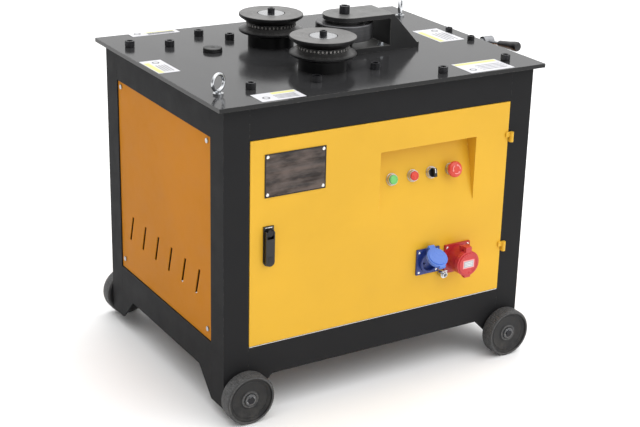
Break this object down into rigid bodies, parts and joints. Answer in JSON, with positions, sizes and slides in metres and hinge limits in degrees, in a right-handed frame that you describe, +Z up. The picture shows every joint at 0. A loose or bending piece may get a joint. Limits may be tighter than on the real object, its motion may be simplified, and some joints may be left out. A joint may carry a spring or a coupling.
{
  "type": "rebar bender",
  "caption": "Wheeled cabinet arc bender for reinforcing bar: two geared groove rollers and a pressure roller on a crank-fed carriage above a work table, with a control door.",
  "frame": {"origin": "middle of the footprint on the floor, under the whole machine with its crank and lids", "axes": "+X along the front to the right, where the crank is; +Y to the back; +Z up"},
  "size_m": [0.98, 0.767, 0.888],
  "materials": {
    "frame_paint": "fine textured charcoal powder coat",
    "table_paint": "satin dark grey paint with light scuffs",
    "yellow_paint": "satin golden yellow powder coat",
    "dark_casting": "satin black paint on machined plate",
    "machine_blue": "hammered blue paint",
    "cradle_grey": "grey primer",
    "box_grey": "light grey powder coat",
    "black_oxide": "black oxide",
    "roller_steel": "hardened and blackened, turned",
    "press_steel": "hardened and ground",
    "gear_steel": "oiled machined steel",
    "bright_steel": "bright turned steel",
    "zinc": "zinc plated",
    "chrome": "polished",
    "bezel_metal": "satin chrome",
    "black_plastic": "fine grained moulding",
    "button_green": "gloss moulding",
    "button_red": "gloss moulding",
    "socket_red": "satin moulding",
    "lid_red": "satin moulding",
    "socket_blue": "satin moulding",
    "lid_blue": "satin moulding",
    "plate_aluminium": "brown anodised sheet",
    "wheel_black": "moulded rubber on a plastic hub"
  },
  "bodies": {
    "cabinet": {"table_top": "table_paint", "corner_posts": "frame_paint", "top_rails_long": "frame_paint", "top_rails_short": "frame_paint", "base_rails_long": "frame_paint", "base_rails_short": "frame_paint", "drive_cradle": "cradle_grey", "left_panel": "yellow_paint", "right_panel": "yellow_paint", "rear_panel": "yellow_paint", "panel_screws": "black_oxide", "hinge_posts": "yellow_paint", "switch_box": "box_grey", "wheel_axles": "zinc", "table_screws": "black_oxide", "table_plug": "black_plastic", "eyebolts": "chrome", "bearing_housings": "dark_casting", "gearbox": "machine_blue", "motor": "machine_blue", "screw_bearing": "dark_casting"},
    "door": {"door": "yellow_paint", "hinge_sleeves": "yellow_paint", "lock_plate": "black_plastic", "nameplate": "plate_aluminium", "control_bodies": "bezel_metal", "red_inlet": "socket_red", "blue_inlet": "socket_blue", "pedal_connector": "chrome"},
    "lock_spindle": {"lock_cam": "zinc"},
    "lock_handle": {"lock_lever": "black_plastic"},
    "start_cap": {"start_button": "button_green"},
    "stop_cap": {"stop_button": "button_red"},
    "selector": {"selector_knob": "black_plastic"},
    "emergency_stop": {"estop_head": "button_red"},
    "red_cover": {"red_lid": "lid_red"},
    "blue_cover": {"blue_lid": "lid_blue"},
    "wheel_fl": {"wheel_front_left": "wheel_black"},
    "wheel_fr": {"wheel_front_right": "wheel_black"},
    "wheel_rl": {"wheel_rear_left": "wheel_black"},
    "wheel_rr": {"wheel_rear_right": "wheel_black"},
    "roller_a": {"shaft_a": "bright_steel", "groove_roller_a": "roller_steel", "upper_flange_a": "roller_steel", "clamp_washer_a": "chrome", "clamp_screw_a": "black_oxide", "gear_a": "gear_steel"},
    "roller_b": {"shaft_b": "bright_steel", "groove_roller_b": "roller_steel", "upper_flange_b": "roller_steel", "clamp_washer_b": "chrome", "clamp_screw_b": "black_oxide", "gear_b": "gear_steel"},
    "pinion": {"output_pinion": "gear_steel"},
    "carriage_slide": {"carriage": "dark_casting", "roller_pin": "black_oxide"},
    "pressure": {"pressure_roller": "press_steel"},
    "crank": {"lead_screw": "bright_steel", "crank_lever": "bright_steel", "crank_grip": "black_plastic"}
  },
  "joints": [
    {"name": "door_swing", "type": "hinge", "parent": "cabinet", "child": "door", "pos_m": [0.331, -0.31797, 0.441], "axis": [0, 0, 1], "range_deg": [0, 115]},
    {"name": "lock_turn", "type": "hinge", "parent": "door", "child": "lock_spindle", "pos_m": [-0.3565, -0.31347, 0.46], "axis": [0, -1, 0], "range_deg": [0, 90]},
    {"name": "lock_lift", "type": "hinge", "parent": "lock_spindle", "child": "lock_handle", "pos_m": [-0.3565, -0.32147, 0.46], "axis": [-1, 0, 0], "range_deg": [0, 25]},
    {"name": "start_press", "type": "slide", "parent": "door", "child": "start_cap", "axis": [0, 0.9698, -0.2439], "range_m": [0, 0.0035], "stiffness_N_per_m": 800, "springref_m": -0.002},
    {"name": "stop_press", "type": "slide", "parent": "door", "child": "stop_cap", "axis": [0, 0.9698, -0.2439], "range_m": [0, 0.0035], "stiffness_N_per_m": 800, "springref_m": -0.002},
    {"name": "selector_turn", "type": "hinge", "parent": "door", "child": "selector", "pos_m": [0.108, -0.29184, 0.525], "axis": [0, -0.9698, 0.2439], "range_deg": [-45, 45]},
    {"name": "emergency_press", "type": "slide", "parent": "door", "child": "emergency_stop", "axis": [0, 0.9698, -0.2439], "range_m": [0, 0.005]},
    {"name": "red_lid_open", "type": "hinge", "parent": "door", "child": "red_cover", "pos_m": [0.183, -0.34847, 0.335], "axis": [-1, 0, 0], "range_deg": [0, 100], "stiffness_Nm_per_rad": 0.05, "springref_deg": -17.19},
    {"name": "blue_lid_open", "type": "hinge", "parent": "door", "child": "blue_cover", "pos_m": [0.0945, -0.32347, 0.3335], "axis": [-1, 0, 0], "range_deg": [-56, 45]},
    {"name": "wheel_fl_spin", "type": "hinge", "parent": "cabinet", "child": "wheel_fl", "pos_m": [-0.42, -0.33947, 0.0625], "axis": [0, 1, 0], "continuous": true},
    {"name": "wheel_fr_spin", "type": "hinge", "parent": "cabinet", "child": "wheel_fr", "pos_m": [0.34, -0.33947, 0.0625], "axis": [0, 1, 0], "continuous": true},
    {"name": "wheel_rl_spin", "type": "hinge", "parent": "cabinet", "child": "wheel_rl", "pos_m": [-0.42, 0.36453, 0.0625], "axis": [0, 1, 0], "continuous": true},
    {"name": "wheel_rr_spin", "type": "hinge", "parent": "cabinet", "child": "wheel_rr", "pos_m": [0.34, 0.36453, 0.0625], "axis": [0, 1, 0], "continuous": true},
    {"name": "roller_a_spin", "type": "hinge", "parent": "cabinet", "child": "roller_a", "pos_m": [-0.115, 0.12053, 0.8], "axis": [0, 0, 1], "continuous": true},
    {"name": "roller_b_spin", "type": "hinge", "parent": "cabinet", "child": "roller_b", "pos_m": [-0.115, -0.13547, 0.8], "axis": [0, 0, 1], "continuous": true},
    {"name": "pinion_spin", "type": "hinge", "parent": "cabinet", "child": "pinion", "pos_m": [-0.115, -0.00747, 0.685], "axis": [0, 0, 1], "continuous": true},
    {"name": "crank_turn", "type": "hinge", "parent": "cabinet", "child": "crank", "pos_m": [0.475, -0.00747, 0.749], "axis": [1, 0, 0], "range_deg": [-4050, 5400]},
    {"name": "carriage_feed", "type": "slide", "parent": "cabinet", "child": "carriage_slide", "axis": [1, 0, 0], "range_m": [-0.0451, 0.0601]},
    {"name": "pressure_spin", "type": "hinge", "parent": "carriage_slide", "child": "pressure", "pos_m": [0.022, -0.00747, 0.82975], "axis": [0, 0, 1], "continuous": true}
  ],
  "couplings": [
    {"joint": "roller_b_spin", "follows": "roller_a_spin", "ratio": 1},
    {"joint": "pinion_spin", "follows": "roller_a_spin", "ratio": -1.6667},
    {"joint": "carriage_feed", "follows": "crank_turn", "m_per_rad": 0.00063662}
  ]
}
